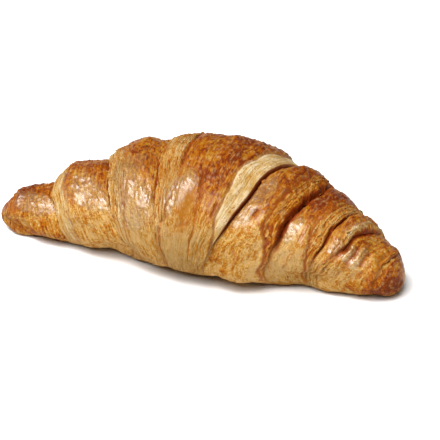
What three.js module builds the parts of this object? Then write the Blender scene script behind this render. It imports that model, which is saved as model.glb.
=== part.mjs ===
// A straight butter croissant: one piece of rolled, baked dough, resting on its flat underside.
// Millimetres, +X along the roll from the slim end to the blunt end, +Z up, -Y the front.
// A triangle of layered dough is rolled from its wide base to its point. Its two slanting
// edges wind round the roll as seams, so that each wrap ends in a lip one step above the next
// wrap out. The point is the central wrap's flap, which narrows down the front and tucks under.
import * as THREE from "three";

const { clamp, degToRad, lerp, smoothstep } = THREE.MathUtils;

// Overall form of the roll.
const LENGTH = 165;
const HALF_LENGTH = LENGTH / 2;
const WIDTH_TO_HEIGHT = 1.32;
const NOSE_ROUNDING = 11; // length over which the slim end closes
const TIP_ROUNDING = 6; // length over which the blunt end closes
const SINK = 1.3; // dough pressed flat against the tray
const SINK_FROM = 4; // the height of the axis where the sinking starts, and where it is full
const SINK_FULL = 16;
const UNDERSIDE_FULLNESS = 0.75; // below 1 makes the underside flatter than a circle

// Stations along the roll: its height, and how far its axis stands behind the line of its tips.
const STATIONS = [
  { x: -82.5, height: 12.5, back: 0 },
  { x: -76, height: 16, back: 0.8 },
  { x: -62, height: 22, back: 3.4 },
  { x: -46, height: 31, back: 5.8 },
  { x: -26, height: 40.5, back: 6.8 },
  { x: -6, height: 46, back: 5.4 },
  { x: 14, height: 45.8, back: 4 },
  { x: 30, height: 43, back: 4.6 },
  { x: 46, height: 35.5, back: 6.6 },
  { x: 62, height: 27, back: 3 },
  { x: 76, height: 16.6, back: 0.8 },
  { x: 82.5, height: 12.8, back: 0 },
];

// The seams, from the slim end to the blunt end. front, top and back are the places along the
// roll where a seam crosses those sides. step is its height and gap the depth of the crevice
// outside the lip, and rear is the share of both that is left at the back. bandTop and bandFront
// are the widths of the bare band above the lip, where leaves of dough show. side is -1 where the
// lip faces the slim end.
const SEAMS = [
  {
    side: -1, front: -75.5, top: -76.5, back: -77.5,
    step: 0.8, gap: 0.3, rear: 1, bandTop: 1.6, bandFront: 2, leaves: 1,
  },
  {
    side: -1, front: -49.6, top: -60.6, back: -66,
    step: 4.2, gap: 1, rear: 1, bandTop: 5, bandFront: 9, leaves: 2,
  },
  {
    side: -1, front: -20.5, top: -38.4, back: -45,
    step: 4.6, gap: 1, rear: 1, bandTop: 7, bandFront: 8, leaves: 2,
  },
  {
    side: -1, front: -3.6, top: -14.6, back: -20.5,
    step: 3, gap: 1, rear: 0.8, bandTop: 10.6, bandFront: 2.6, leaves: 2,
  },
  {
    side: 1, front: 12.3, top: 29.2, back: 34,
    step: 3.6, gap: 2.4, rear: 0.5, bandTop: 7, bandFront: 1.6, leaves: 1,
  },
  {
    side: 1, front: 33.6, top: 45.2, back: 50,
    step: 2.8, gap: 2, rear: 0.5, bandTop: 5.6, bandFront: 3, leaves: 2,
  },
  {
    side: 1, front: 48.2, top: 59.2, back: 65,
    step: 2.2, gap: 1.1, rear: 0.6, bandTop: 4, bandFront: 4, leaves: 1,
  },
  {
    side: 1, front: 53, top: 66.4, back: 71,
    step: 2, gap: 1, rear: 0.6, bandTop: 2.4, bandFront: 2.4, leaves: 1,
  },
  {
    side: 1, front: 72.5, top: 77.5, back: 79,
    step: 0.8, gap: 0.4, rear: 1, bandTop: 2, bandFront: 2, leaves: 1,
  },
];
const FRONT_ANGLE = degToRad(110);
const BACK_ANGLE = degToRad(-120);

// How far a torn lip strays from its plain line, as waves round the roll.
const LIP_WAVES = [
  { size: 0.35, round: 4, shift: 1 },
  { size: 0.2, round: 9, shift: 2 },
];

// Section of a lip and its band.
const LIP_WALL = 0.25; // share of the step that stands as a wall at the lip
const LIP_WALL_RUN = 0.7;
const LIP_WALL_OF_BAND = 0.25; // most of a narrow band that the wall may take
const LIP_OVERHANG = 0.5;
const OVERHANG_FADES = 3;
const GAP_WIDTH = 1.2;
const REAR_FADE = degToRad(50); // angle over which a seam turns from full to its rear share
const LEAF_RISER = 0.25; // share of a leaf's width that is its riser
const LEAF_RELIEF = 0.7; // 0 for a smooth band, 1 for flat leaves with steep edges
const BAND_CURVE = 1.7; // above 1 rounds the band over into the skin
const BAND_TURN_FROM = 0.2; // the angle where a band starts to turn from its top to its front width
const WIDEST_BAND = 0.55; // share of a wrap
const SKIN_EDGE = 0.7; // the glazed skin stands proud of the bare band by this much
const SKIN_EDGE_RUN = 0.7;
const TEAR_DEPTH = 0.4; // groove where the skin tore away from the band
const SHELF_CURVE = 1.4;
const TIP_SHELF = 5; // length over which a tip rises from under the last lip

// The relief fades between these angles, on its way under the roll.
const RELIEF_FULL = 1.4;
const RELIEF_GONE = 2.9;

// Slow unevenness of hand-rolled dough, as waves along and round the roll.
const WAVES = [
  { size: 0.4, along: 0.11, round: 1, phase: 0.4 },
  { size: 0.35, along: 0.23, round: -3, phase: 1.3 },
  { size: 0.25, along: 0.41, round: 2, phase: 0 },
  { size: 0.18, along: 0.19, round: 6, phase: 2.1 },
];

// Mesh: rings along the roll and points round each ring.
const POINTS_ROUND = 50;
const RINGS_IN_WRAP = 3;
const RINGS_IN_CENTRE = 9;
const RINGS_IN_TIP = 5;
const LAST_RING = 0.5; // the gap from a tip's last ring to its end, against the gaps before it
const NEAR_GAP = [0.6, 1.8]; // distances of rings outside a lip, less in a narrow wrap
const NARROW_WRAP = 10;
const RINGS_STRAIGHTEN = 2.2; // past this angle the rings turn square to the roll

// Height and axis of the plain roll at x, by smooth interpolation between the stations.
function plainRoll(x) {
  const last = STATIONS.length - 1;
  const next = STATIONS.findIndex((station) => x <= station.x);
  const i = clamp((next < 0 ? last : next) - 1, 0, last - 1);
  const [p0, p1, p2, p3] = [-1, 0, 1, 2].map((k) => STATIONS[clamp(i + k, 0, last)]);
  const run = p2.x - p1.x;
  const t = clamp((x - p1.x) / run, 0, 1);
  const value = (key) => {
    const start = ((p2[key] - p0[key]) / (p2.x - p0.x)) * run;
    const end = ((p3[key] - p1[key]) / (p3.x - p1.x)) * run;
    const rise = p2[key] - p1[key];
    return p1[key] + t * start + t ** 2 * (3 * rise - 2 * start - end) + t ** 3 * (start + end - 2 * rise);
  };
  return { height: value("height"), back: value("back") };
}

// Share of the section that is left as a tip closes: 1 along the roll, 0 at its ends.
function tipClosing(x) {
  const rounding = x < 0 ? NOSE_ROUNDING : TIP_ROUNDING;
  const past = clamp((Math.abs(x) - HALF_LENGTH + rounding) / rounding, 0, 1);
  return Math.sqrt(1 - past * past);
}

// Where a seam crosses the given angle: 0 at the top, positive down the front.
function seamX(seam, angle) {
  const a = clamp(angle, BACK_ANGLE, FRONT_ANGLE);
  const toFront = (seam.front - seam.top) / FRONT_ANGLE;
  const toBack = (seam.back - seam.top) / BACK_ANGLE;
  const curve = (toFront - toBack) / (FRONT_ANGLE - BACK_ANGLE);
  const lean = toFront - curve * FRONT_ANGLE;
  const wander = LIP_WAVES.reduce(
    (sum, wave) => sum + wave.size * Math.sin(wave.round * a + wave.shift * seam.top),
    0,
  );
  return seam.top + lean * a + curve * a ** 2 + wander;
}

function bandWidth(seam, angle, wrapWidth) {
  const turn = smoothstep(Math.abs(angle), BAND_TURN_FROM, FRONT_ANGLE);
  return Math.min(lerp(seam.bandTop, seam.bandFront, turn), WIDEST_BAND * wrapWidth);
}

function wallRun(band) {
  return Math.min(LIP_WALL_RUN, LIP_WALL_OF_BAND * band);
}

// The seam as it stands at an angle: its step and the crevice outside it are lower at the back.
function seamHeights(seam, angle) {
  const share = lerp(seam.rear, 1, smoothstep(angle, -REAR_FADE, 0));
  return { step: seam.step * share, gap: seam.gap * share };
}

// Height of a wrap over the plain roll, at a distance in from its lip: the lip's wall, then the
// band's leaves, then the glazed skin. The plain roll lies halfway up the step.
function wrapHeight(seam, angle, band, distance) {
  const { step } = seamHeights(seam, angle);
  const wall = LIP_WALL * smoothstep(distance, 0, wallRun(band));
  const share = clamp(distance / band, 0, 1);
  const leaf = Math.floor(share * seam.leaves);
  const riser = smoothstep(share * seam.leaves - leaf, 1 - LEAF_RISER, 1);
  const climbed = lerp(share, (leaf + riser) / seam.leaves, LEAF_RELIEF);
  const leaves = (1 - LIP_WALL) * (1 - (1 - climbed) ** BAND_CURVE);
  const skin = SKIN_EDGE * smoothstep(distance, band, band + SKIN_EDGE_RUN);
  const tear = TEAR_DEPTH * Math.exp(-(((distance - band) / SKIN_EDGE_RUN) ** 2));
  return step * (wall + leaves) - step / 2 + skin - tear;
}

// Fall of a wrap from its shoulder to the foot of the lip that covers its inner end.
function shelfFall(outer, inner, angle, band, distance, width) {
  const t = clamp((distance - band) / (width - band), 0, 1);
  const shoulder = seamHeights(outer, angle).step / 2 + SKIN_EDGE;
  return (shoulder + seamHeights(inner, angle).step / 2) * t ** SHELF_CURVE;
}

function crevice(seam, angle, distance) {
  return seamHeights(seam, angle).gap * Math.exp(-((distance / GAP_WIDTH) ** 2));
}

function overhang(distance) {
  const start = smoothstep(distance, 0, LIP_WALL_RUN);
  return LIP_OVERHANG * start * (1 - smoothstep(distance, LIP_WALL_RUN, OVERHANG_FADES));
}

// Relief of the wraps over the plain roll, and how far a lip hangs over along the roll.
function wrapRelief(x, angle) {
  const at = SEAMS.map((seam) => seamX(seam, angle));
  const beyond = at.findIndex((seamAt) => x < seamAt);
  const next = beyond < 0 ? SEAMS.length : beyond;
  const left = SEAMS[next - 1];
  const right = SEAMS[next];
  if (!left || !right) {
    // A tip only sinks under the last lip.
    const inner = left ?? right;
    const distance = left ? x - at[next - 1] : at[next] - x;
    const sink = (seamHeights(inner, angle).step / 2) * Math.exp(-distance / TIP_SHELF);
    return { out: -sink - crevice(inner, angle, distance), along: 0 };
  }
  const toLeft = x - at[next - 1];
  const toRight = at[next] - x;
  const width = toLeft + toRight;
  const height = (seam, distance) => wrapHeight(seam, angle, bandWidth(seam, angle, width), distance);
  if (left.side < 0 && right.side > 0) {
    // The central wrap has a lip at both ends.
    const out = Math.min(height(left, toLeft), height(right, toRight));
    return { out, along: overhang(toRight) - overhang(toLeft) };
  }
  const [outer, inner, distance] = left.side < 0 ? [left, right, toLeft] : [right, left, toRight];
  const fall = shelfFall(outer, inner, angle, bandWidth(outer, angle, width), distance, width);
  const out = height(outer, distance) - fall - crevice(inner, angle, width - distance);
  return { out, along: outer.side * overhang(distance) };
}

function unevenness(x, angle) {
  return WAVES.reduce(
    (sum, wave) => sum + wave.size * Math.sin(wave.along * x + wave.round * angle + wave.phase),
    0,
  );
}

// A point of the surface at x along the roll and at an angle round it.
function surfacePoint(x, angle) {
  const { height, back } = plainRoll(x);
  const axisHeight = height / 2;
  const closing = tipClosing(x);
  const half = axisHeight * closing;
  const shown = 1 - smoothstep(Math.abs(angle), RELIEF_FULL, RELIEF_GONE);
  const relief = wrapRelief(x, angle);
  const out = (relief.out * shown + unevenness(x, angle)) * closing;
  const c = Math.cos(angle);
  const lift = c > 0 ? c : -(Math.abs(c) ** UNDERSIDE_FULLNESS);
  const sideways = (half * WIDTH_TO_HEIGHT + out) * Math.sin(angle);
  const z = axisHeight + (half + out) * lift - SINK * smoothstep(axisHeight, SINK_FROM, SINK_FULL);
  return new THREE.Vector3(x + relief.along * shown * closing, back - sideways, Math.max(z, 0));
}

// Rings between two positions, evenly spaced, without the ends.
function evenly(from, to, count) {
  return Array.from({ length: count }, (_, i) => lerp(from, to, (i + 1) / (count + 1)));
}

// Distances of the rings inside a lip: its wall, the edges of its leaves, and the skin's edge.
function ringsInLip(seam, band) {
  const rings = [wallRun(band)];
  for (let leaf = 1; leaf <= seam.leaves; leaf++)
    rings.push((band * (leaf - LEAF_RISER)) / seam.leaves, (band * leaf) / seam.leaves);
  rings.push(band + SKIN_EDGE_RUN);
  return rings;
}

// Distances of the rings outside a lip, in the wrap below it.
function ringsInGap(width) {
  return NEAR_GAP.map((distance) => distance * Math.min(1, width / NARROW_WRAP));
}

// Rings of a tip, from beyond the last seam to just short of the end, drawing together there.
function ringsInTip(seamAt, side) {
  const room = Math.abs(side * HALF_LENGTH - seamAt);
  const rings = ringsInGap(room).map((distance) => seamAt + side * distance);
  const start = rings[rings.length - 1];
  for (let i = 1; i <= RINGS_IN_TIP; i++) {
    const share = Math.sin((Math.PI / 2) * (i / (RINGS_IN_TIP + LAST_RING)));
    rings.push(lerp(start, side * HALF_LENGTH, share));
  }
  return rings;
}

// Positions of the rings at one angle: close together at the seams, even in between.
function ringPositions(angle) {
  const under = smoothstep(Math.abs(angle), RINGS_STRAIGHTEN, Math.PI);
  const at = SEAMS.map((seam) => {
    const middle = (seamX(seam, FRONT_ANGLE) + seamX(seam, BACK_ANGLE)) / 2;
    return lerp(seamX(seam, angle), middle, under);
  });
  const rings = ringsInTip(at[0], -1).reverse();
  for (let k = 0; k < SEAMS.length - 1; k++) {
    const [left, right] = [SEAMS[k], SEAMS[k + 1]];
    const width = at[k + 1] - at[k];
    const near = (seam, hasLip) =>
      hasLip ? ringsInLip(seam, bandWidth(seam, angle, width)) : ringsInGap(width);
    const fromLeft = near(left, left.side < 0).map((distance) => at[k] + distance);
    const fromRight = near(right, right.side > 0).map((distance) => at[k + 1] - distance).reverse();
    const central = left.side < 0 && right.side > 0;
    const between = evenly(fromLeft.at(-1), fromRight[0], central ? RINGS_IN_CENTRE : RINGS_IN_WRAP);
    rings.push(at[k], ...fromLeft, ...between, ...fromRight);
  }
  rings.push(at.at(-1), ...ringsInTip(at.at(-1), 1));
  return rings;
}

function croissantGeometry() {
  const columns = [];
  for (let j = 0; j < POINTS_ROUND; j++) {
    const angle = ((j + 0.5) / POINTS_ROUND) * 2 * Math.PI - Math.PI;
    columns.push(ringPositions(angle).map((x) => surfacePoint(x, angle)));
  }
  const rings = columns[0].length;
  const positions = [];
  for (let i = 0; i < rings; i++)
    for (const column of columns) positions.push(...column[i].toArray());
  const poles = [-HALF_LENGTH, HALF_LENGTH].map((x) => {
    const ring = x < 0 ? 0 : rings - 1;
    const heights = columns.map((column) => column[ring].z);
    positions.push(x, 0, (Math.min(...heights) + Math.max(...heights)) / 2);
    return positions.length / 3 - 1;
  });
  const faces = [];
  const at = (i, j) => i * POINTS_ROUND + (j % POINTS_ROUND);
  for (let j = 0; j < POINTS_ROUND; j++) {
    faces.push(poles[0], at(0, j + 1), at(0, j));
    for (let i = 0; i < rings - 1; i++) {
      faces.push(at(i, j), at(i, j + 1), at(i + 1, j + 1));
      faces.push(at(i, j), at(i + 1, j + 1), at(i + 1, j));
    }
    faces.push(poles[1], at(rings - 1, j), at(rings - 1, j + 1));
  }
  const geometry = new THREE.BufferGeometry();
  geometry.setAttribute("position", new THREE.Float32BufferAttribute(positions, 3));
  geometry.setIndex(faces);
  geometry.computeBoundingBox();
  const { min, max } = geometry.boundingBox;
  geometry.translate(-(min.x + max.x) / 2, -(min.y + max.y) / 2, -min.z);
  geometry.computeVertexNormals();
  return geometry;
}

const crust = new THREE.MeshStandardMaterial({ color: 0xb97b36, roughness: 0.45, metalness: 0 });
const croissant = new THREE.Mesh(croissantGeometry(), crust);
croissant.name = "croissant";

const group = new THREE.Group();
group.add(croissant);
export default group;
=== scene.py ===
import math

import bpy
import numpy as np
from mathutils import Matrix, Vector, noise


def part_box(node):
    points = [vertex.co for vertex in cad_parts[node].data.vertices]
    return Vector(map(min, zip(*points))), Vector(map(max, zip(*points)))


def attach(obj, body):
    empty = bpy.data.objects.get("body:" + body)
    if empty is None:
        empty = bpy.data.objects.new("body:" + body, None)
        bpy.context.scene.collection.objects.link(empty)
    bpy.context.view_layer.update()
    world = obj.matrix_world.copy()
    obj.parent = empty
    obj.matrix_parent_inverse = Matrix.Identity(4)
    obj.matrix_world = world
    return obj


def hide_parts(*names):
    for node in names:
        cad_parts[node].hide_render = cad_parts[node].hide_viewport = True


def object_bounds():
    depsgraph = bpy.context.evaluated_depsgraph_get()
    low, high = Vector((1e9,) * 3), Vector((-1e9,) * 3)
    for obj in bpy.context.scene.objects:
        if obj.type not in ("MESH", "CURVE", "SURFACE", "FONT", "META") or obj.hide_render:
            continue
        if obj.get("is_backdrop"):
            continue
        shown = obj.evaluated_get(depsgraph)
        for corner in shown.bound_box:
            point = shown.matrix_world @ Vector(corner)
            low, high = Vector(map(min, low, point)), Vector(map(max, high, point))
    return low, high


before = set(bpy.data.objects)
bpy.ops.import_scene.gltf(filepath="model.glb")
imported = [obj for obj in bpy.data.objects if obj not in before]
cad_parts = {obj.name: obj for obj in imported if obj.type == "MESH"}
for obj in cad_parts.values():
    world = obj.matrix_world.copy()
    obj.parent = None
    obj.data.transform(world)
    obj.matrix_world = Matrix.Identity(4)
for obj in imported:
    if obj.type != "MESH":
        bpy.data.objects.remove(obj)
CAD_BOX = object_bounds()

# The crust is one sheet of layered dough, rolled up, egg-washed and baked until its wraps tear.
# It starts as a flat grid, rolled into a tube as the dough is, and the roll's sizes set its points.
# It stands for the plain solid of the same form. Sizes are in millimetres until the mesh is set.
MM = 0.001
HALF_LENGTH = 82.5
WIDTH_TO_HEIGHT = 1.32
NOSE_ROUNDING = 11  # how far in from its end the slim nose closes, and the blunt tip
TIP_ROUNDING = 6
SINK = 1.3  # how far its weight presses the roll flat, by how high its axis stands
SINK_FROM = 4
SINK_FULL = 16
UNDERSIDE_FULLNESS = 0.75  # under 1, the underside is fuller than an ellipse

# Stations along the roll: x, its height, and how far its axis stands behind the line of its tips.
STATIONS = np.array([
    (-82.5, 12.5, 0), (-76, 16, 0.8), (-62, 22, 3.4), (-46, 31, 5.8),
    (-26, 40.5, 6.8), (-6, 46, 5.4), (14, 45.8, 4), (30, 43, 4.6),
    (46, 35.5, 6.6), (62, 27, 3), (76, 16.6, 0.8), (82.5, 12.8, 0),
])


# The seams, from the slim end, which side -1 faces, and where each crosses the front, top and back.
# The step is a lip's height and the gap the depth of the crevice outside it; rear is the share of
# both that is left at the back, and closes the share that is gone low on the front. The band above
# the lip is bare and shows leaves of dough, and skin_blend says how softly the skin ends above it.
def seam(side, front, top, back, skin_edge=0.7, tear_shade=0.35, closes_at=80, **sizes):
    return dict(
        sizes, side=side, front=front, top=top, back=back, skin_edge=skin_edge,
        tear_shade=tear_shade, closes_at=math.radians(closes_at),
    )


SEAMS = [
    seam(
        -1, -75.5, -76.5, -77.5, step=0.8, gap=0.3, rear=1, closes=0.2, band_top=1.6, band_front=2,
        leaf_relief=0.5, pale=0.2, shade_width=0.4, wall_shade=0.2, skin_blend=1.5,
    ),
    seam(
        -1, -49.6, -60.6, -66, step=4.2, gap=1, rear=1, closes=0.3, band_top=5, band_front=9,
        leaf_relief=0.35, pale=0.84, shade_width=0.9, wall_shade=0.2, skin_blend=1,
    ),
    seam(
        -1, -20.5, -38.4, -45, step=4.6, gap=1, rear=1, closes=0.4, band_top=7, band_front=8,
        leaf_relief=0.9, pale=0.6, shade_width=0.9, wall_shade=0.2, skin_blend=2.4,
    ),
    seam(
        -1, -3.6, -14.6, -20.5, step=3, gap=1, rear=0.8, closes=0.4, band_top=10.6, band_front=2.6,
        leaf_relief=0.8, pale=0.55, shade_width=0.9, wall_shade=0.2, skin_blend=1.2,
    ),
    seam(
        1, 12.3, 29.2, 34, step=3.6, gap=1.7, rear=0.5, closes=0.9, band_top=7, band_front=1.8,
        leaf_relief=0.15, pale=1.05, shade_width=1.1, wall_shade=0.5, skin_blend=0.4, skin_edge=1.2,
    ),
    seam(
        1, 33.6, 45.2, 50, step=2.8, gap=2, rear=0.5, closes=0.7, band_top=4.8, band_front=2.8,
        leaf_relief=1.1, pale=0.22, shade_width=2.4, wall_shade=0.8, skin_blend=0.8, tear_shade=0.8,
    ),
    seam(
        1, 48.2, 59.2, 65, step=2.2, gap=0.9, rear=0.6, closes=0.75, band_top=4, band_front=3.6,
        leaf_relief=0.7, pale=0.55, shade_width=1.1, wall_shade=0.4, skin_blend=0.8, tear_shade=0.7,
    ),
    seam(
        1, 53, 66.4, 71, step=2, gap=1, rear=0.6, closes=0.9, band_top=2, band_front=2.4,
        leaf_relief=0.8, pale=0.65, shade_width=1.7, wall_shade=0.3, skin_blend=1, closes_at=62,
    ),
    seam(
        1, 72.5, 77.5, 79, step=0.5, gap=0.2, rear=1, closes=0.7, band_top=1.4, band_front=1.4,
        leaf_relief=0.3, pale=0.1, shade_width=0.2, wall_shade=0.1, skin_blend=1.5, closes_at=40,
    ),
]
FRONT_ANGLE = math.radians(110)
BACK_ANGLE = math.radians(-120)
LIP_WAVES = [(0.35, 4, 1), (0.2, 9, 2)]  # size, waves round the roll, shift

LIP_WALL = 0.25  # share of a step that stands straight up at its lip
LIP_WALL_RUN = 0.5
LIP_OVERHANG = 0.7
OVERHANG_FADES = 3
GAP_WIDTH = 1.1
REAR_FADE = math.radians(50)
BAND_CURVE = 1.7  # over 1, a bare band climbs fastest near its lip
BAND_TURN_FROM = 0.2  # radians from the top where its width starts to change
WIDEST_BAND = 0.55  # share of its wrap's width
NARROWEST_BAND = 0.5
SKIN_EDGE_RUN = 0.5
TEAR_DEPTH = 0.4  # the groove along the skin's torn edge
SHELF_CURVE = 1.4  # over 1, a wrap stays high and falls late to the next lip
TIP_SHELF = 5  # how far a tip stays sunk beside the last lip
RELIEF_FULL = 1.4  # radians from the top where the relief starts to fade, and is gone underneath
RELIEF_GONE = 2.9
CLOSING_RUN = math.radians(18)  # a seam closes over this much of a turn on each side of its place
# The roll's slow unevenness: size, waves per millimetre in radians, waves round the roll, shift.
WAVES = [(0.4, 0.11, 1, 0.4), (0.35, 0.23, -3, 1.3), (0.25, 0.41, 2, 0), (0.18, 0.19, 6, 2.1)]

RINGS = 488
POINTS_ROUND = 200
CROWD_TOP = 0.25  # how much closer the points round the roll stand at its top than underneath
CROWD_SEAMS = 0.6  # how much closer the rings stand at the seams than between them
RINGS_STRAIGHTEN = 2.2  # radians from the top where the rings start to leave the seams' slant

bpy.ops.object.select_all(action="DESELECT")
bpy.ops.mesh.primitive_grid_add(x_subdivisions=RINGS, y_subdivisions=POINTS_ROUND, size=2)
crust = bpy.context.object
crust.name = "croissant_crust"
crust.data.name = "croissant_crust"


def smooth(value, low, high):
    t = np.clip((value - low) / (high - low), 0, 1)
    return t * t * (3 - 2 * t)


def mix(a, b, share):
    return a + (b - a) * share


def plain_roll(x):
    """Height of the plain roll at x and how far back its axis stands, between the stations."""
    places = STATIONS[:, 0]
    last = len(places) - 1
    i = np.clip(np.searchsorted(places, x) - 1, 0, last - 1)
    before, after = np.maximum(i - 1, 0), np.minimum(i + 2, last)
    run = places[i + 1] - places[i]
    t = np.clip((x - places[i]) / run, 0, 1)
    values = []
    for column in (1, 2):
        value = STATIONS[:, column]
        rise = value[i + 1] - value[i]
        start = (value[i + 1] - value[before]) / (places[i + 1] - places[before]) * run
        end = (value[after] - value[i]) / (places[after] - places[i]) * run
        square, cube = 3 * rise - 2 * start - end, start + end - 2 * rise
        values.append(value[i] + t * start + t**2 * square + t**3 * cube)
    return values


def seam_x(lip, angle):
    """Where a seam crosses an angle round the roll: 0 at the top, positive down the front."""
    a = np.clip(angle, BACK_ANGLE, FRONT_ANGLE)
    to_front = (lip["front"] - lip["top"]) / FRONT_ANGLE
    to_back = (lip["back"] - lip["top"]) / BACK_ANGLE
    curve = (to_front - to_back) / (FRONT_ANGLE - BACK_ANGLE)
    lean = to_front - curve * FRONT_ANGLE
    wander = sum(size * np.sin(waves * a + shift * lip["top"]) for size, waves, shift in LIP_WAVES)
    return lip["top"] + lean * a + curve * a**2 + wander


def openness(lip, angle):
    """How open a seam still is low on the front: 1 above, where all of them are."""
    start, end = lip["closes_at"] - CLOSING_RUN, lip["closes_at"] + CLOSING_RUN
    return 1 - lip["closes"] * smooth(angle, start, end)


def share_at(lip, angle):
    """Share of a seam's step and gap that stands at an angle: less at the back and low in front."""
    return mix(lip["rear"], 1, smooth(angle, -REAR_FADE, 0)) * openness(lip, angle)


def band_width(lip, angle, wrap_width):
    turn = smooth(np.abs(angle), BAND_TURN_FROM, FRONT_ANGLE)
    return np.minimum(mix(lip["band_top"], lip["band_front"], turn), WIDEST_BAND * wrap_width)


# Grain: smooth random values at places on the roll, in cells that may be long round the roll.
# A place is its line along the roll, counted where that line crosses the top, and its two sides.
SEED_SHIFT = 17.3  # how far apart in the noise two seeds lie
CELL_SEED_SHIFT = 31.7
CELL_WARP = 0.35


def grain(places, along, across, seed):
    cells = places / np.array((along, across, across)) + SEED_SHIFT * seed
    values = [noise.noise(cell) for cell in cells.reshape(-1, 3).tolist()]
    return np.array(values).reshape(cells.shape[:-1])


def cells(places, along, across, seed):
    """How far inside a cell of a crinkled surface a place is: 0 on the line between two cells."""
    sites = places / np.array((along, across, across)) + CELL_SEED_SHIFT * seed
    warp = [grain(places, along, across, seed + i) for i in (20, 30, 40)]
    sites += CELL_WARP * np.stack(warp, -1)
    near = np.array([noise.voronoi(site)[0][:2] for site in sites.reshape(-1, 3).tolist()])
    return (near[:, 1] - near[:, 0]).reshape(places.shape[:-1])


LEAF_PITCH = 1.15
LEAF_HEIGHT = 0.42
LEAF_CLIMB = 0.12  # share of a leaf's width over which its edge rises
LEAF_FALL = 0.8  # share of a leaf's width over which it slopes back down
LEAF_DARK_FROM = 0.7  # share of a leaf's width from which the next leaf shades it
LEAF_PALE_AND_SHADE = 0.4  # how much paler a leaf is, and darker in the painted shade at its foot
LEAF_SHADE = 0.85
LEAF_WANDER = 1.6
LEAF_MIDDLE, LEAF_SWING, LEAF_LEAST, LEAF_MOST = 0.75, 0.9, 0.1, 1.3  # a leaf's strength
TEAR_SWING, FINE_TEAR_SWING, LEAST_TORN = 2.2, 1.1, 0.35  # how far the skin's torn edge strays
RAGGED_MIDDLE, RAGGED_SWING, RAGGED_MOST, LEAST_RAGGED = 0.45, 0.9, 1.2, 0.25  # and the lip's
WALL_DARK_TO = (0.6, 1.3)  # shares of its reach where a shade starts and ends its fall
DEPTH_DARK_TO = (0.5, 1.2)
DEPTH_REACH, DEPTH_RAGGED = 0.7, 0.5
RING_FLOOR = 4  # millimetres that count towards the rings of even the narrowest stretch

# Where the grid's points go. Its first side runs along the roll and its second round it.
grid = np.empty(len(crust.data.vertices) * 3)
crust.data.vertices.foreach_get("co", grid)
grid = grid.reshape(POINTS_ROUND + 1, RINGS + 1, 3)
turn = grid[:, :, 1]
angle = math.pi * ((1 - CROWD_TOP) * turn + CROWD_TOP * turn**5)
along = (grid[0, :, 0] + 1) / 2

# Each stretch between two seams gets rings by its width, closer together at both ends.
under = smooth(np.abs(angle), RINGS_STRAIGHTEN, math.pi)
ends = [np.full_like(angle, -HALF_LENGTH)[:, 0]]
for lip in SEAMS:
    middle = (seam_x(lip, FRONT_ANGLE) + seam_x(lip, BACK_ANGLE)) / 2
    ends.append(mix(seam_x(lip, angle[:, 0]), middle, under[:, 0]))
ends.append(np.full_like(angle, HALF_LENGTH)[:, 0])
tops = np.array([-HALF_LENGTH] + [lip["top"] for lip in SEAMS] + [HALF_LENGTH])
shares = (np.diff(tops) + RING_FLOOR).cumsum()
shares = np.concatenate(([0], shares)) / shares[-1]
stretch = np.clip(np.searchsorted(shares, along, side="right") - 1, 0, len(SEAMS))
t = (along - shares[stretch]) / (shares[stretch + 1] - shares[stretch])
t = t - CROWD_SEAMS * np.sin(2 * math.pi * t) / (2 * math.pi)
ends = np.array(ends)
start, stop = ends[stretch].T, ends[stretch + 1].T
width = stop - start
x = start + width * t
line = mix(tops[stretch], tops[stretch + 1], t) + 0 * angle

# The plain roll under the relief.
height, back = plain_roll(x)
rounding = np.where(x < 0, NOSE_ROUNDING, TIP_ROUNDING)
closing = np.sqrt(1 - np.clip((np.abs(x) - HALF_LENGTH + rounding) / rounding, 0, 1) ** 2)
axis_height = height / 2
half = axis_height * closing
places = np.stack([line, half * WIDTH_TO_HEIGHT * np.sin(angle), half * np.cos(angle)], -1)
shown = 1 - smooth(np.abs(angle), RELIEF_FULL, RELIEF_GONE)

# The leaves of a bare band: steps that face its lip, torn here and there.
torn = TEAR_SWING * grain(places, 5, 8, 1) + FINE_TEAR_SWING * grain(places, 1.8, 2.6, 12)
round_only = grain(places * (0, 1, 1), 1, 3.2, 11)
ragged = np.clip(RAGGED_MIDDLE + RAGGED_SWING * round_only, 0, RAGGED_MOST)
leaf_wander = grain(places, 4, 11, 2) * LEAF_WANDER
leaf_strength = np.clip(LEAF_MIDDLE + LEAF_SWING * grain(places, 3, 7, 3), LEAF_LEAST, LEAF_MOST)


def leaves(distance):
    """Height of the leaf edges at a distance in from a lip, and the shade that they throw."""
    leaf = distance / LEAF_PITCH + leaf_wander
    part = leaf - np.floor(leaf)
    rise = leaf_strength * (smooth(part, 0, LEAF_CLIMB) - smooth(part, 1 - LEAF_FALL, 1))
    return LEAF_HEIGHT * rise, leaf_strength * smooth(part, LEAF_DARK_FROM, 1)


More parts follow.
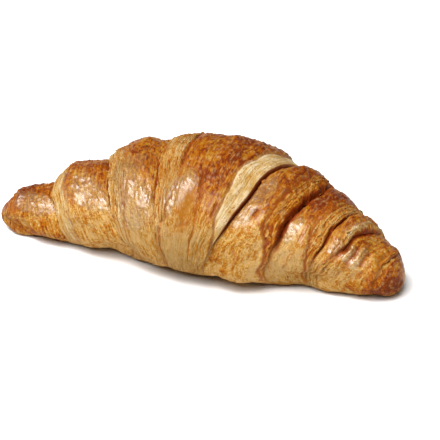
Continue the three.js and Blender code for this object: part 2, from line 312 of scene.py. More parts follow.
def wrap_height(lip, distance):
    """At a distance in from a lip: height over the plain roll, how bare and how pale the dough is
    there, partly painted light on its leaves, the painted shade on it, and how wide the bare band
    is."""
    distance = distance - ragged * np.clip(lip["leaf_relief"], LEAST_RAGGED, 1)
    tear = torn * np.clip(lip["leaf_relief"], LEAST_TORN, 1)
    band = (band_width(lip, angle, width) + tear) * openness(lip, angle)
    band = np.clip(band, NARROWEST_BAND, None)
    step, gap = lip["step"] * share_at(lip, angle), lip["gap"] * share_at(lip, angle)
    climb = smooth(distance, 0, LIP_WALL_RUN)
    wall = LIP_WALL * climb
    share = np.clip(distance / band, 0, 1)
    slope = (1 - LIP_WALL) * (1 - (1 - share) ** BAND_CURVE)
    skin = lip["skin_edge"] * smooth(distance, band, band + SKIN_EDGE_RUN)
    groove = np.exp(-(((distance - band) / SKIN_EDGE_RUN) ** 2))
    bare = 1 - smooth(distance, band - lip["skin_blend"], band + lip["skin_blend"])
    leaf_height, leaf_shade = leaves(distance)
    relief = step * (wall + slope) - step / 2 + skin + lip["leaf_relief"] * bare * leaf_height
    relief -= TEAR_DEPTH * groove
    relief -= gap * (1 - climb)
    # Painted shade: the leaves' feet, the torn skin's groove, and the lip's wall under its
    # overhang.
    shade = LEAF_SHADE * np.minimum(lip["leaf_relief"], 1) * bare * leaf_shade
    shade = shade + lip["tear_shade"] * groove
    wall_dark = 1 - smooth(distance, *(share * lip["wall_shade"] for share in WALL_DARK_TO))
    shade = np.maximum(shade, wall_dark * share_at(lip, angle))
    # A leaf's colour is painted paler on its lit face and darker at its foot, in the next leaf's
    # shade.
    pale = lip["pale"] + LEAF_PALE_AND_SHADE * lip["leaf_relief"] * (0.5 - leaf_shade)
    return relief, bare, pale, shade, band


def crevice(lip, distance):
    return lip["gap"] * share_at(lip, angle) * np.exp(-((distance / GAP_WIDTH) ** 2))


def depth_shade(lip, distance):
    """Painted shade on the dough where it goes in under a lip."""
    reach = lip["shade_width"] * (DEPTH_REACH + DEPTH_RAGGED * ragged)
    dark = 1 - smooth(distance, *(share * reach for share in DEPTH_DARK_TO))
    return share_at(lip, angle) * dark


def overhang(distance):
    fade = 1 - smooth(distance, LIP_WALL_RUN, OVERHANG_FADES)
    return LIP_OVERHANG * smooth(distance, 0, LIP_WALL_RUN) * fade


out = np.zeros_like(angle)
hang = np.zeros_like(angle)
bare = np.zeros_like(angle)
pale = np.zeros_like(angle)
shade = np.zeros_like(angle)
to_left, to_right = x - start, stop - x
for k in range(len(SEAMS) + 1):
    here = (stretch == k) & np.ones_like(angle, bool)
    left = SEAMS[k - 1] if k > 0 else None
    right = SEAMS[k] if k < len(SEAMS) else None
    if left is None or right is None:
        inner, distance = (right, to_right) if left is None else (left, to_left)
        sink = inner["step"] / 2 * share_at(inner, angle) * np.exp(-distance / TIP_SHELF)
        nothing = 0 * x
        dark = depth_shade(inner, distance)
        values = (-sink - crevice(inner, distance), nothing, nothing, nothing, dark)
    elif left["side"] < 0 < right["side"]:
        from_left, from_right = wrap_height(left, to_left), wrap_height(right, to_right)
        nearer = from_left[0] < from_right[0]
        values = (
            np.minimum(from_left[0], from_right[0]),
            overhang(to_right) - overhang(to_left),
            *(np.where(nearer, from_left[i], from_right[i]) for i in (1, 2, 3)),
        )
    else:
        faces_left = left["side"] < 0
        outer, inner, distance = (left, right, to_left) if faces_left else (right, left, to_right)
        rise, bareness, paleness, leaf_shade, band = wrap_height(outer, distance)
        fallen = np.clip((distance - band) / (width - band), 0, 1) ** SHELF_CURVE
        shoulder = outer["step"] / 2 * share_at(outer, angle) + outer["skin_edge"]
        fall = (shoulder + inner["step"] / 2 * share_at(inner, angle)) * fallen
        to_inner = width - distance
        values = (
            rise - fall - crevice(inner, to_inner),
            outer["side"] * overhang(distance),
            bareness,
            paleness,
            np.maximum(leaf_shade, depth_shade(inner, to_inner)),
        )
    for total, value in zip((out, hang, bare, pale, shade), values):
        total[here] = value[here]

# Creases and marks of this one croissant, each on a line between places, given as the line along
# the roll and the degrees round it: where it is fuller or thinner, torn creases and folds with
# painted shade in them, where the oven left it darker or paler, where paler colour is painted
# light, and where the egg wash lay thick and its highlight is partly painted.
SWELLS = [  # places, how much fuller, half width
    ([(-13, -30), (-10, 5)], 1.5, 4),
    ([(11, -30), (14, 5)], 1.2, 4),
    ([(24, -35), (23, 0)], -1.2, 3),
    ([(-31, -20), (-29, 20)], -1.2, 3),
    ([(38, -30), (37, 5)], 1.2, 3.5),
    ([(62.5, -30), (62, 5)], 1.5, 2),
    ([(68.5, 63), (68.4, 40)], 1, 0.8),
    ([(70.7, 70), (71.2, 54), (71.2, 32)], 1.1, 0.9),
    ([(74.9, 44), (74.5, 28)], 0.6, 0.9),
    ([(72, -35), (72, 5)], -0.8, 3),
    ([(51, 118), (68, 115)], -3.6, 6),
    ([(62, 110), (68, 112)], -1, 3),
    ([(-45, 124), (-34, 125)], -4.2, 5),
    ([(31, 122), (36, 120)], 3.4, 5),
    ([(-77, 110), (-73, 114)], -3, 3.6),
    ([(-67, 106), (-63, 110)], 1.4, 3),
]
CREASES = [  # places, depth, half width
    ([(-4.6, -40), (-3.4, 0), (-3, 24)], 1.4, 0.8),
    ([(20.4, 53), (20.6, 58), (20.9, 63)], 1, 0.6),
    ([(67.6, 62), (67.6, 45)], 0.5, 0.5),
    ([(69.5, 70), (69.9, 50), (69.8, 36)], 0.7, 0.5),
    ([(72.8, 62), (72.9, 36)], 0.6, 0.6),
    ([(76.6, 60), (75.3, 95)], 0.4, 0.6),
    ([(73.6, 74), (72, 102)], 0.35, 0.6),
    ([(-75.4, -10), (-75.1, 20), (-73.2, 104)], 0.5, 0.7),
    ([(8.5, 30), (11.5, 56), (12.7, 77), (13.4, 105)], 0.5, 0.8),
    ([(1.5, 77), (4.5, 76), (9, 73)], 0.35, 0.6),
    ([(-27, 20), (-28, 50), (-29.6, 100)], 0.3, 0.6),
    ([(38, 30), (35.5, 62), (32.5, 105)], 0.35, 0.6),
    ([(54, 12), (52.6, 60), (51, 100)], 0.4, 0.5),
    ([(70, 20), (70.5, 60), (69, 105)], 0.4, 0.6),
    ([(74, 18), (74.5, 60), (73, 100)], 0.35, 0.6),
    ([(67, 45), (64.5, 75), (62, 105)], 0.5, 0.6),
    ([(79, 40), (77.5, 75), (76, 105)], 0.45, 0.6),
]
SCORCHES_AND_PAINTED_LIGHT = [  # places, how much browner, half width; below 0 paler, some of it painted light
    ([(8.5, 32), (11.6, 56), (12.8, 77), (13.4, 100)], 0.35, 1.8),
    ([(14, -40), (15, 0), (16, 36)], 0.26, 4.5),
    ([(14.5, 42), (17, 68)], 0.22, 3),
    ([(9, 34), (9.2, 38)], 0.9, 1.1),
    ([(35.6, 50), (35.7, 54)], 0.9, 1.1),
    ([(41.5, -30), (38, 10), (33, 45)], 0.06, 3.4),
    ([(51, -20), (50, 12)], 0.4, 4),
    ([(50, 14), (49, 36)], 0.15, 4),
    ([(35, 90), (42, 102)], 0.12, 5),
    ([(70, 4), (76, 0), (78, 22)], -0.22, 2.8),
    # These two paint the tip's highlight streaks paler, a painted highlight.
    ([(68.5, 62), (68.4, 42)], -0.4, 0.8),
    ([(70.8, 69), (71.2, 54), (71.2, 34)], -0.45, 0.9),
    ([(68, 78), (76, 100)], 0.12, 5),
    ([(-66, 112), (-63, 118)], 0.3, 4),
    ([(80.6, 26), (80.2, 60)], 0.3, 1.5),
    ([(79, 114), (81, 100), (81.8, 80)], 1, 3.8),
    # These three make the low front paler: partly its lighter bake, partly painted light in the
    # shade under the belly.
    ([(14, 90), (-4, 103)], -0.34, 6),
    ([(-27, 80), (-30, 108)], -0.2, 5),
    ([(50, 85), (46, 108)], -0.45, 6),
    ([(-81, -90), (-80.5, 100)], 0.2, 3.5),
    ([(-73, -60), (-71, 110)], 0.34, 8),
]
SMOOTH_PATCH = ([(5.8, 54), (4.8, 71)], 4.4)
GLAZE_POOLS = [  # places, half width, where the egg wash was thickest and its highlight is partly painted
    ([(-70.4, 43), (-64.8, 60)], 4),
    ([(-47.4, 41), (-43.4, 59)], 5),
    ([(-28.6, 37), (-23, 60), (-25, 72)], 6.5),
    ([(-4, 56), (0, 50), (3, 43)], 4.8),
    ([(34, 22), (32.6, 36), (31.8, 60)], 3.2),
    ([(49.2, 46), (47.8, 68)], 1.8),
    ([(63.5, 60), (64.4, 46)], 1.2),
    ([(68.5, 62), (68.4, 42)], 1.1),
    ([(70.9, 68), (71.2, 54), (71.2, 36)], 1.3),
]


def near_path(path, half_width):
    """1 on the line through a path's places, falling to 0 at a few half widths from it."""
    reach = np.full_like(angle, np.inf)
    radius = axis_height
    for (line_a, degrees_a), (line_b, degrees_b) in zip(path, path[1:]):
        a, b = math.radians(degrees_a), math.radians(degrees_b)
        along_line, along_turn = line_b - line_a, (b - a) * radius
        to_line, to_turn = line - line_a, (angle - a) * radius
        share = (to_line * along_line + to_turn * along_turn) / (along_line**2 + along_turn**2)
        share = np.clip(share, 0, 1)
        off_line, off_turn = to_line - share * along_line, to_turn - share * along_turn
        reach = np.minimum(reach, np.hypot(off_line, off_turn))
    return np.exp(-((reach / half_width) ** 2))


UNSTEADY_MIDDLE, UNSTEADY_SWING, UNSTEADY_MOST = 0.8, 0.9, 1.3  # depth of a small crease
POOL_RAGGED = 0.35
POOL_EDGE = (0.15, 0.6)
GLAZE_CENTRE = 0.1  # radians in front of the top
GLAZE_WANDER = 0.25
GLAZE_EDGE = (1.0, 1.5)  # radians from its centre where the glaze starts to thin out and ends

unsteady = UNSTEADY_MIDDLE + UNSTEADY_SWING * grain(places, 2.5, 5, 14)
unsteady = np.clip(unsteady, 0, UNSTEADY_MOST)
scorch = np.zeros_like(angle)
for path, amount, half_width in SCORCHES_AND_PAINTED_LIGHT:
    scorch += amount * near_path(path, half_width)
for path, fuller, half_width in SWELLS:
    out += fuller * near_path(path, half_width)
# A crease is cut in and painted with shade, as dark as it is deep up to full.
for path, depth, half_width in CREASES:
    crease = near_path(path, half_width) * (unsteady if depth < 1 else 1)
    out -= depth * crease
    shade = np.maximum(shade, min(depth, 1) * crease)
patch = near_path(*SMOOTH_PATCH)
pooled = np.zeros_like(angle)
for path, half_width in GLAZE_POOLS:
    pool = near_path(path, half_width) + POOL_RAGGED * grain(places, 3, 4, 15)
    pooled = np.maximum(pooled, smooth(pool, *POOL_EDGE))

# The glaze stops where the brush did, partway down the front and the back.
brushed = np.abs(angle - GLAZE_CENTRE) + GLAZE_WANDER * grain(places, 9, 9, 4)
glazed = (1 - bare) * (1 - smooth(brushed, *GLAZE_EDGE))

# Grain of the baked crust: a crinkled glaze, fine folds that run round the roll, and thin steps
# where the outer leaf flaked off.
CRINKLE_EDGE = 0.5
CRINKLE_SHARE, BLISTER_SHARE = 0.7, 0.6
BLISTER_HEIGHT = 0.9
PORE_HEIGHT = 0.22
FOLD_SWING = 1.4
FOLDS_ON_TOP, FOLDS_LOW = 0.35, 0.9
WRINKLE_HEIGHT = 1.3
FLAKING_STEPS = 3
FLAKING_HEIGHT = 0.2
FLAKING_CLIMB = 0.82  # share of a flaked step from which it climbs to the next
FLAKING_LOST_BARE = 0.6
PALE_RIM = (0.75, 0.95)  # shares of a flaked step between which its rim turns pale
LOWER_RUN = (0.9, 1.6)
PALE_BAND = (0.75, 0.95)  # how pale a bare band has to be to bake smooth
PALE_BAND_SMOOTH = 0.85
PATCH_SMOOTH = 0.8
RAISED_HEIGHT = 0.42
DETAIL_UNDERNEATH = 0.35

crinkle = smooth(cells(places, 1.9, 3.0, 5), 0, CRINKLE_EDGE)
blisters = np.clip(grain(places, 3.4, 4.6, 6), 0, None) * BLISTER_HEIGHT
pores = grain(places, 0.8, 1.2, 7) * PORE_HEIGHT
folds = 0.5 - np.abs(grain(places, 1.0, 10, 8)) * FOLD_SWING
folds_apart = 0.5 + 0.5 * grain(places, 2.4, 9, 9)
flaking = grain(places, 3.2, 8, 10) * FLAKING_STEPS
flake_edge = flaking - np.floor(flaking)
flaking = (np.floor(flaking) + smooth(flake_edge, FLAKING_CLIMB, 1)) * FLAKING_HEIGHT
lower = smooth(np.abs(angle), *LOWER_RUN)
smooth_dough = 1 - PALE_BAND_SMOOTH * bare * smooth(pale, *PALE_BAND)
smooth_dough *= 1 - PATCH_SMOOTH * patch
wrinkles = grain(places, 1.4, 3.6, 16) * WRINKLE_HEIGHT
raised = glazed * (CRINKLE_SHARE * crinkle + BLISTER_SHARE * blisters)
unglazed = mix(FOLDS_ON_TOP, FOLDS_LOW, lower) * folds * folds_apart + lower * wrinkles
raised += (1 - glazed) * unglazed
detail = RAISED_HEIGHT * raised + pores + flaking * (1 - FLAKING_LOST_BARE * bare)
detail *= smooth_dough

uneven = sum(size * np.sin(a * x + r * angle + p) for size, a, r, p in WAVES)
out = (out * shown + uneven + detail * mix(DETAIL_UNDERNEATH, 1, shown)) * closing
lift = np.where(np.cos(angle) > 0, np.cos(angle), -np.abs(np.cos(angle)) ** UNDERSIDE_FULLNESS)
across = (half * WIDTH_TO_HEIGHT + out) * np.sin(angle)
z = axis_height + (half + out) * lift - SINK * smooth(axis_height, SINK_FROM, SINK_FULL)
rolled = np.stack([x + hang * shown * closing, back - across, np.maximum(z, 0)], -1)

# The roll goes where the solid is, point for point.
low, high = (np.array(corner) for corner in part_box("croissant"))
rolled[:, :, 1] += (low[1] + high[1]) / 2 / MM - (rolled[:, :, 1].min() + rolled[:, :, 1].max()) / 2
crust.data.vertices.foreach_set("co", (rolled * MM).ravel())
pale_edge = smooth(flake_edge, *PALE_RIM) * (1 - smooth(flake_edge, PALE_RIM[1], 1)) * closing
for name, values in {
    "bare": bare * shown, "pale": pale, "shade": shade * shown, "glazed": glazed, "turn": angle,
    "raised": raised, "edge": pale_edge, "scorch": scorch, "patch": patch, "pooled": pooled,
}.items():
    attribute = crust.data.attributes.new(name, "FLOAT", "POINT")
    attribute.data.foreach_set("value", np.ascontiguousarray(values).ravel())
attribute = crust.data.attributes.new("place", "FLOAT_VECTOR", "POINT")
attribute.data.foreach_set("vector", places.ravel())

# The tube is closed along its underside and at both tips.
bpy.ops.object.mode_set(mode="EDIT")
bpy.ops.mesh.select_all(action="SELECT")
bpy.ops.mesh.remove_doubles(threshold=0.000002)
bpy.ops.mesh.normals_make_consistent(inside=False)
bpy.ops.object.mode_set(mode="OBJECT")
bpy.ops.object.shade_smooth()


class Tone:
    """A value on its way through a shader. Sums on it add Math nodes, and node() adds any other."""

    def __init__(self, tree, socket=None):
        self.tree = tree
        self.socket = socket

    def node(self, kind, settings=None, sockets=None, output=0):
        made = self.tree.nodes.new(kind)
        for name, value in (settings or {}).items():
            if name == "stops":
                elements = made.color_ramp.elements
                while len(elements) < len(value):
                    elements.new(1)
                for element, (position, colour) in zip(elements, value):
                    element.position = position
                    element.color = colour
            else:
                setattr(made, name, value)
        for name, value in (sockets or {}).items():
            if isinstance(value, Tone):
                self.tree.links.new(value.socket, made.inputs[name])
            else:
                made.inputs[name].default_value = value
        return Tone(self.tree, made.outputs[output])

    def math(self, operation, first, second=0.0):
        return self.node("ShaderNodeMath", {"operation": operation}, {0: first, 1: second})

    def __add__(self, other):
        return self.math("ADD", self, other)

    __radd__ = __add__

    def __sub__(self, other):
        return self.math("SUBTRACT", self, other)

    def __rsub__(self, other):
        return self.math("SUBTRACT", other, self)

    def __mul__(self, other):
        return self.math("MULTIPLY", self, other)

    __rmul__ = __mul__

    def distance_from_0(self):
        return self.math("ABSOLUTE", self)

    def ramp(self, low, high):
        """0 below low and 1 above high, smooth between them."""
        sockets = {"Value": self, "From Min": low, "From Max": high}
        return self.node("ShaderNodeMapRange", {"interpolation_type": "SMOOTHSTEP"}, sockets)

    def blend(self, first, second):
        """The first colour where this value is 0 and the second where it is 1."""
        sockets = {0: self, 6: first, 7: second}
        return self.node("ShaderNodeMix", {"data_type": "RGBA"}, sockets, output=2)


def attribute_of(tone, name):
    vector = name == "place"
    return tone.node("ShaderNodeAttribute", {"attribute_name": name}, output=1 if vector else 2)


def grain_of(tone, place, along, across, detail, roughness=0.6):
    """Noise in cells of the given sizes in millimetres, along the roll and across it."""
    per_cell = (1 / along, 1 / across, 1 / across)
    scaled = tone.node("ShaderNodeVectorMath", {"operation": "MULTIPLY"}, {0: place, 1: per_cell})
    sockets = {"Vector": scaled, "Scale": 1.0, "Detail": detail, "Roughness": roughness}
    return tone.node("ShaderNodeTexNoise", None, sockets)


def swing(noise_tone, size):
    """Noise from 0 to 1 as a swing of a size, half of it to each side of 0."""
    return (noise_tone - 0.5) * size


def rgb(red, green, blue):
    """A colour given in 0 to 255, as the shader's linear colour."""
    channels = [channel / 255 for channel in (red, green, blue)]
    linear = [c / 12.92 if c < 0.04 else ((c + 0.055) / 1.055) ** 2.4 for c in channels]
    return (*linear, 1)


CREAM = rgb(178, 149, 101)
PALE_STRAW = rgb(181, 143, 87)
STRAW = rgb(171, 129, 62)
PALE_GOLD = rgb(168, 122, 50)
DEEP_GOLD = rgb(156, 103, 24)
AMBER = rgb(172, 112, 30)
GOLD = rgb(150, 82, 8)
CHESTNUT = rgb(130, 61, 10)
DARK_CHESTNUT = rgb(102, 38, 8)
# Painted shade: red-brown where it is light, dark brown where it is deep.
PAINTED_SHADE_RUST = rgb(134, 60, 4)
PAINTED_SHADE_BROWN = rgb(116, 40, 8)
IVORY = rgb(198, 176, 138)
UMBER = rgb(118, 69, 3)

baked = bpy.data.materials.new("baked_crust")
baked.use_nodes = True
shader = baked.node_tree.nodes["Principled BSDF"]
tone = Tone(baked.node_tree)
place = attribute_of(tone, "place")
bare_mask = attribute_of(tone, "bare")
pale_mask = attribute_of(tone, "pale")
shade_mask = attribute_of(tone, "shade")
glaze_mask = attribute_of(tone, "glazed")
turn_angle = attribute_of(tone, "turn")
raised_mask = attribute_of(tone, "raised")
edge_mask = attribute_of(tone, "edge")
scorch_and_painted_light_mask = attribute_of(tone, "scorch")
patch_mask = attribute_of(tone, "patch")
pooled_and_highlight_mask = attribute_of(tone, "pooled")

# Noise comes out near the middle of its range, so each is spread before it is used.
SPREAD = (0.33, 0.67)
LINE_SPREAD = (0.36, 0.64)
BLOTCH_SPREAD = (0.3, 0.7)
PIT_SPREAD = (0.62, 0.69)  # only the noise's peaks are pits
streaks = grain_of(tone, place, 0.9, 12, 3).ramp(*SPREAD)
threads = grain_of(tone, place, 0.45, 5, 2).ramp(*SPREAD)
leaf_lines = grain_of(tone, place, 0.35, 18, 1).ramp(*LINE_SPREAD)
blotches = grain_of(tone, place, 6, 7, 3).ramp(*BLOTCH_SPREAD)
specks = grain_of(tone, place, 0.45, 0.6, 2).ramp(*SPREAD)
scuffs = grain_of(tone, place, 1.3, 2.4, 4).ramp(*SPREAD)
pits = grain_of(tone, place, 0.9, 1.1, 1).ramp(*PIT_SPREAD)

# The skin's bake goes from 0, straw, to 1, dark chestnut, and each of these adds its share.
BAKE_START = 0.28
TOP_BAKE = 0.42
BLOTCH_BAKE = 0.26
SCUFF_BAKE = 0.46
STREAK_BAKE = 0.28
THREAD_BAKE = 0.26
SPECK_BAKE, SPECKS_LOST_ON_TOP = 0.5, 0.26
RAISED_BAKE, RAISED_MIDDLE = 0.2, 0.35
POOL_SPECK_BAKE, POOL_PALER = 0.4, 0.02
TOP_LEAN = 0.1  # radians behind the top, where the oven browned it most
TOP_RUN = (0.35, 1.45)
PATCH_COVER, PATCH_GOLD = 0.85, 0.5
POOL_SCUFF_HIGHLIGHT, POOL_SPECK_HIGHLIGHT = 0.2, 0.15

top = 1 - (turn_angle + TOP_LEAN).distance_from_0().ramp(*TOP_RUN)
bake = top * TOP_BAKE + swing(blotches, BLOTCH_BAKE) + swing(scuffs, SCUFF_BAKE)
bake = bake + swing(streaks, STREAK_BAKE) + swing(threads, THREAD_BAKE)
bake = bake + swing(specks, SPECK_BAKE - top * SPECKS_LOST_ON_TOP)
bake = bake + (raised_mask - RAISED_MIDDLE) * RAISED_BAKE + BAKE_START + scorch_and_painted_light_mask
bake = bake + pooled_and_highlight_mask * (swing(specks, POOL_SPECK_BAKE) - POOL_PALER)
skin = bake.node(
    "ShaderNodeValToRGB",
    {"stops": [
        (0, PALE_STRAW), (0.22, PALE_GOLD), (0.42, DEEP_GOLD), (0.62, GOLD),
        (0.86, CHESTNUT), (1, DARK_CHESTNUT),
    ]},
    {0: bake},
)
smooth_gold = (blotches * PATCH_GOLD).blend(UMBER, GOLD)
skin = (patch_mask * PATCH_COVER).blend(skin, smooth_gold)
# Where the egg wash pooled, scuffs and specks are painted paler: a painted highlight.
painted_highlight = scuffs * POOL_SCUFF_HIGHLIGHT + specks * POOL_SPECK_HIGHLIGHT
skin = (pooled_and_highlight_mask * (1 - patch_mask) * painted_highlight).blend(skin, CREAM)

# The bare dough's tone goes from 0, chestnut, to 1, its palest, and a pale band's leaves show less.
DOUGH_START = 0.06
DOUGH_PALE = 0.75
DOUGH_SCUFFS = 0.22
DOUGH_SCORCH = 0.4
DOUGH_BLOTCHES = 0.3
LEAFY_MOST = 1.6
LEAFY_LINES, LEAFY_STREAKS, LEAFY_SPECKS = 0.45, 0.35, 0.24
PALE_FROM, PALE_FULL = 0.4, 0.95

leafy = swing(leaf_lines, LEAFY_LINES) + swing(streaks, LEAFY_STREAKS)
dough_tone = (LEAFY_MOST - pale_mask) * (leafy + swing(specks, LEAFY_SPECKS))
dough_tone = dough_tone + pale_mask * DOUGH_PALE + swing(scuffs, DOUGH_SCUFFS)
dough_tone = dough_tone - scorch_and_painted_light_mask * DOUGH_SCORCH + DOUGH_START
dough_tone = dough_tone + swing(blotches, pale_mask) * DOUGH_BLOTCHES
golden_dough = dough_tone.node(
    "ShaderNodeValToRGB",
    {"stops": [(0, CHESTNUT), (0.3, GOLD), (0.6, AMBER), (1, PALE_STRAW)]},
    {0: dough_tone},
)
pale_dough = dough_tone.node(
    "ShaderNodeValToRGB",
    {"stops": [(0, CHESTNUT), (0.3, GOLD), (0.55, STRAW), (0.85, CREAM), (1, IVORY)]},
    {0: dough_tone},
)
dough = pale_mask.ramp(PALE_FROM, PALE_FULL).blend(golden_dough, pale_dough)

# Over both lie the pale rims of flaked steps, the pits, and painted shade: red-brown where it is
# light and dark brown where it is deep, in crevices, under lips, between leaves and in creases.
RIM_CREAM = 0.4
PIT_DARK, BARE_PIT_DARK = 0.25, 0.4
SHADE_RUST_RUN, SHADE_RUST_COVER = (0, 0.6), 0.75
DEEP_SHADE_RUN, DEEP_SHADE_COVER = (0.4, 1.1), 0.95

colour = bare_mask.blend(skin, dough)
colour = (edge_mask * RIM_CREAM).blend(colour, CREAM)
colour = (pits * (bare_mask * BARE_PIT_DARK + PIT_DARK)).blend(colour, CHESTNUT)
colour = (shade_mask.ramp(*SHADE_RUST_RUN) * SHADE_RUST_COVER).blend(colour, PAINTED_SHADE_RUST)
colour = (shade_mask.ramp(*DEEP_SHADE_RUN) * DEEP_SHADE_COVER).blend(colour, PAINTED_SHADE_BROWN)

# The finest relief, from 0 to about 1, of which 1 is BUMP_HEIGHT metres high.
BUMP_HEIGHT = 0.0009
STREAK_BUMP = 0.16
THREAD_BUMP = 0.14
SPECK_BUMP = 0.2
SCUFF_BUMP = 0.38
LEAF_LINE_BUMP = 0.2
PATCH_EVENS, GLAZE_EVENS, POOL_CRINKLES = 0.7, 0.4, 0.5
PALEST_DOUGH, PALEST_EVENS = 0.75, 0.6

relief = streaks * STREAK_BUMP + threads * THREAD_BUMP + specks * SPECK_BUMP
relief = relief + scuffs * SCUFF_BUMP + leaf_lines * bare_mask * LEAF_LINE_BUMP
relief = relief * (1 - patch_mask * PATCH_EVENS)
relief = relief * (1 - glaze_mask * GLAZE_EVENS + pooled_and_highlight_mask * POOL_CRINKLES)
relief = relief * (1 - (bare_mask * pale_mask).ramp(PALEST_DOUGH, 1) * PALEST_EVENS)
sockets = {"Strength": 1.0, "Distance": BUMP_HEIGHT, "Height": relief}
bump = tone.node("ShaderNodeBump", None, sockets)

# The egg wash shines on the shoulders and most where it pooled, and a scorched top is dull.
MATTE_CRUST = 0.68
GLAZE_POLISH, POOL_POLISH, SCUFF_MATTE = 0.28, 0.12, 0.12
SHOULDER_RUN = (0.15, 0.55)
SCUFF_GLOSS = 0.5
TOP_GLOSS, SHOULDER_GLOSS = 0.12, 0.2
SCORCH_DULLS = 2.4
POOL_GLOSS, POOL_SCUFF_GLOSS, POOL_SPECK_GLOSS = 0.16, 0.5, 0.3

roughness = MATTE_CRUST - glaze_mask * (1 - patch_mask) * GLAZE_POLISH
roughness = roughness - pooled_and_highlight_mask * POOL_POLISH + swing(scuffs, SCUFF_MATTE)
shoulder = turn_angle.distance_from_0().ramp(*SHOULDER_RUN)
gloss = glaze_mask * (scuffs * SCUFF_GLOSS + (1 - SCUFF_GLOSS))
gloss = gloss * (shoulder * SHOULDER_GLOSS + TOP_GLOSS) * (1 - scorch_and_painted_light_mask * SCORCH_DULLS)
pool_gloss = scuffs * POOL_SCUFF_GLOSS + specks * POOL_SPECK_GLOSS + POOL_GLOSS
gloss = (gloss + pooled_and_highlight_mask * pool_gloss) * (1 - patch_mask)
for name, value in {
    "Base Color": colour, "Roughness": roughness, "Normal": bump, "Coat Weight": gloss,
}.items():
    baked.node_tree.links.new(value.socket, shader.inputs[name])
shader.inputs["IOR"].default_value = 1.25
shader.inputs["Specular Tint"].default_value = (1, 0.85, 0.4, 1)
shader.inputs["Coat IOR"].default_value = 1.7
shader.inputs["Coat Roughness"].default_value = 0.3
crust.data.materials.append(baked)
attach(crust, "root")
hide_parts("croissant")

# Loose flakes are slivers of the outer leaf that lifted at the torn edges as the dough rose.
# Each is a thin bent scrap of crust, held by its inner edge, so that edge stays sunk in the crust.
FLAKE_LENGTH = 3
FLAKE_WIDTH = 1.2
FLAKE_THICKNESS = 0.16
FLAKE_CURL = 0.35
FLAKE_SINK = 0.14
FLAKE_POINT = 0.7  # how far its outer edge draws in to a point
FLAKE_SPREAD = (0.4, 1.1)
FLAKE_TILT = (0.1, 0.5)
FLAKE_SKEW = (-0.5, 0.5)
LIP_FLAKE_INWARD = 0.5
SEAM_FLAKE_TURN, LOOSE_FLAKE_TURN = 1.5, 1.4  # how far round the roll they reach, in radians
FLAKES_AT_LIPS = 2
FLAKES_AT_SKIN = 12  # on each seam where its skin is torn back
LOOSE_FLAKES = 36
PLAIN_RINGS = 12  # at each tip, with no loose flakes
PALE_DOUGH = 0.8  # no flakes stand on dough as pale and bare as this
ROLL_MIDDLE = 15  # height of a point inside the roll, to tell which way is out

bpy.ops.object.select_all(action="DESELECT")
bpy.ops.mesh.primitive_grid_add(x_subdivisions=4, y_subdivisions=2, size=2)
flake = bpy.context.object
flake.name = "croissant_flakes"
for vertex in flake.data.vertices:
    u, v, _ = vertex.co
    point = 0.5 * FLAKE_WIDTH * (v + 1) * (1 - FLAKE_POINT * u**2)
    vertex.co = (0.5 * FLAKE_LENGTH * u, point, FLAKE_CURL * (0.25 * (v + 1) ** 2 - 0.5 * u**2))
solidify = flake.modifiers.new("thickness", "SOLIDIFY")
solidify.thickness = FLAKE_THICKNESS
bpy.ops.object.modifier_apply(modifier="thickness")

# Where flakes may stand: places on the grid, with the way out over the nearest lip.
random = np.random.default_rng(8)
spots = []
for k, lip in enumerate(SEAMS):
    rings = np.flatnonzero(stretch == (k if lip["side"] > 0 else k + 1))
    for count, inward in ((FLAKES_AT_LIPS, LIP_FLAKE_INWARD), (FLAKES_AT_SKIN, None)):
        count = count if lip["step"] > 1 else 1
        for turn_at in random.uniform(-SEAM_FLAKE_TURN, SEAM_FLAKE_TURN, count):
            i = int(np.abs(angle[:, 0] - turn_at).argmin())
            off = band_width(lip, angle, width)[i, 0] if inward is None else inward
            at = seam_x(lip, angle[i, 0]) - lip["side"] * off
            j = int(rings[np.abs(x[i, rings] - at).argmin()])
            spots.append((i, j, lip["side"]))
loose_turns = random.uniform(-LOOSE_FLAKE_TURN, LOOSE_FLAKE_TURN, LOOSE_FLAKES)
loose_rings = random.integers(PLAIN_RINGS, RINGS - PLAIN_RINGS, LOOSE_FLAKES)
for turn_at, j in zip(loose_turns, loose_rings):
    i = int(np.abs(angle[:, 0] - turn_at).argmin())
    spots.append((i, int(j), random.choice((-1, 1))))

scraps = []
for i, j, side in spots:
    if bare[i, j] * pale[i, j] > PALE_DOUGH:
        continue
    here = Vector(rolled[i, j])
    round_roll = (Vector(rolled[i + 2, j]) - Vector(rolled[i - 2, j])).normalized()
    outwards = round_roll.cross(Vector(rolled[i, j + 2]) - Vector(rolled[i, j - 2])).normalized()
    if outwards.dot(Vector((0, here.y, here.z - ROLL_MIDDLE))) < 0:
        outwards.negate()
    over = outwards.cross(round_roll)
    if side * over.x <= 0:
        over = round_roll.cross(outwards)
    tilt = random.uniform(*FLAKE_TILT)
    grow = random.uniform(*FLAKE_SPREAD)
    skew = random.uniform(*FLAKE_SKEW)
    forward = (over * math.cos(skew) + round_roll * math.sin(skew)).normalized()
    lifted = forward * math.cos(tilt) + outwards * math.sin(tilt)
    sideways = forward.cross(outwards)
    frame_of_flake = Matrix((sideways, lifted, sideways.cross(lifted))).transposed() * grow
    placed = frame_of_flake.to_4x4()
    placed.translation = here - outwards * FLAKE_SINK
    scrap = flake.copy()
    scrap.data = flake.data.copy()
    scrap.data.transform(Matrix.Scale(MM, 4) @ placed)
    toast = scrap.data.attributes.new("toast", "FLOAT", "POINT")
    toasted = 1 - bare[i, j] * pale[i, j]
    toast.data.foreach_set("value", np.full(len(scrap.data.vertices), toasted))
    bpy.context.collection.objects.link(scrap)
    scraps.append(scrap)
bpy.data.objects.remove(flake)
bpy.ops.object.select_all(action="DESELECT")
for scrap in scraps:
    scrap.select_set(True)
bpy.context.view_layer.objects.active = scraps[0]
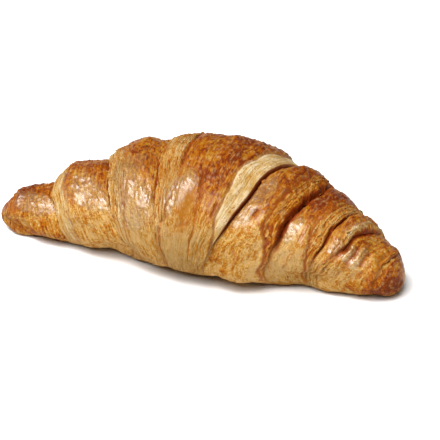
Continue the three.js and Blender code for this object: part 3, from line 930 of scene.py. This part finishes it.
bpy.ops.object.join()
flakes = bpy.context.object
flakes.name = "croissant_flakes"
bpy.ops.object.mode_set(mode="EDIT")
bpy.ops.mesh.select_all(action="SELECT")
bpy.ops.mesh.normals_make_consistent(inside=False)
bpy.ops.object.mode_set(mode="OBJECT")
bpy.ops.object.shade_smooth_by_angle(angle=math.radians(50))

TOAST_BROWNS, MOTTLES_BROWN = 0.55, 0.4
FLAKE_ROUGHNESS, MOTTLE_ROUGHNESS = 0.35, 0.25
FLAKE_BUMP = 0.0003

flake_crust = bpy.data.materials.new("flake_crust")
flake_crust.use_nodes = True
shader = flake_crust.node_tree.nodes["Principled BSDF"]
tone = Tone(flake_crust.node_tree)
where = tone.node("ShaderNodeTexCoord", output=3)
millimetres = tone.node("ShaderNodeVectorMath", {"operation": "SCALE"}, {0: where, "Scale": 1 / MM})
mottles = grain_of(tone, millimetres, 0.5, 0.9, 3).ramp(*SPREAD)
browning = attribute_of(tone, "toast") * TOAST_BROWNS + mottles * MOTTLES_BROWN
colour = browning.node(
    "ShaderNodeValToRGB",
    {"stops": [(0.05, CREAM), (0.3, STRAW), (0.6, AMBER), (0.95, CHESTNUT)]},
    {0: browning},
)
sockets = {"Strength": 0.6, "Distance": FLAKE_BUMP, "Height": mottles}
bump = tone.node("ShaderNodeBump", None, sockets)
roughness = FLAKE_ROUGHNESS + mottles * MOTTLE_ROUGHNESS
for name, value in {"Base Color": colour, "Roughness": roughness, "Normal": bump}.items():
    flake_crust.node_tree.links.new(value.socket, shader.inputs[name])
flakes.data.materials.clear()
flakes.data.materials.append(flake_crust)
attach(flakes, "root")

# The studio is a plain white paper floor under three soft white lights.
# The camera looks from where the photograph's did, down on the front and a little from the right.
FLOOR_SIZE = 6
AIR_LIGHT = 0.06

bpy.ops.object.select_all(action="DESELECT")
bpy.ops.mesh.primitive_plane_add(size=FLOOR_SIZE)
floor = bpy.context.object
floor.name = "studio_floor"
paper = bpy.data.materials.new("white_paper")
paper.use_nodes = True
paper.node_tree.nodes["Principled BSDF"].inputs["Base Color"].default_value = (0.9, 0.9, 0.9, 1)
paper.node_tree.nodes["Principled BSDF"].inputs["Roughness"].default_value = 0.9
floor.data.materials.append(paper)
floor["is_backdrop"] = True


def softbox(name, place, target, width, depth, power):
    """A white area light of a width across the table and a depth, aimed at a point."""
    bpy.ops.object.light_add(type="AREA", location=place)
    light = bpy.context.object
    light.name = name
    light.data.shape = "RECTANGLE"
    light.data.size = width
    light.data.size_y = depth
    light.data.energy = power
    light.rotation_euler = (Vector(target) - Vector(place)).to_track_quat("-Z", "Y").to_euler()


softbox("key_softbox", (-0.22, -0.38, 0.92), (0, 0, 0.02), 1.2, 0.26, 11.6)
softbox("front_softbox", (-0.2, -1.45, 1.6), (0, 0, 0), 2.2, 0.9, 37)
softbox("overhead_softbox", (0, -0.8, 2.1), (0, 0, 0), 1.6, 1.0, 27)

world = bpy.data.worlds.new("studio_air")
world.use_nodes = True
world.node_tree.nodes["Background"].inputs["Color"].default_value = (1, 1, 1, 1)
world.node_tree.nodes["Background"].inputs["Strength"].default_value = AIR_LIGHT
bpy.context.scene.world = world
bpy.context.scene.view_settings.view_transform = "Standard"

CAMERA_TURN = math.radians(20.7)
CAMERA_RISE = math.radians(27)
CAMERA_DISTANCE = 0.8
PIXELS_PER_METRE = 2615
PICTURE_WIDTH = 440
SENSOR_WIDTH = 36
AIM_HEIGHT = 0.02
AIM_RIGHT = 19 / PIXELS_PER_METRE
AIM_DOWN = 12.6 / PIXELS_PER_METRE
away = Vector((
    math.sin(CAMERA_TURN) * math.cos(CAMERA_RISE),
    -math.cos(CAMERA_TURN) * math.cos(CAMERA_RISE),
    math.sin(CAMERA_RISE),
))
rightwards = Vector((math.cos(CAMERA_TURN), math.sin(CAMERA_TURN), 0))
upwards = away.cross(rightwards)
aim = Vector((0, 0, AIM_HEIGHT)) + rightwards * AIM_RIGHT - upwards * AIM_DOWN
bpy.ops.object.camera_add(location=aim + away * CAMERA_DISTANCE)
camera = bpy.context.object
camera.rotation_euler = away.to_track_quat("Z", "Y").to_euler()
camera.data.sensor_width = SENSOR_WIDTH
camera.data.lens = PIXELS_PER_METRE * CAMERA_DISTANCE * SENSOR_WIDTH / PICTURE_WIDTH
bpy.context.scene.camera = camera

boxes = {"cad": CAD_BOX, "visual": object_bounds()}
boxes = {name: [[float(v) for v in corner] for corner in box] for name, box in boxes.items()}
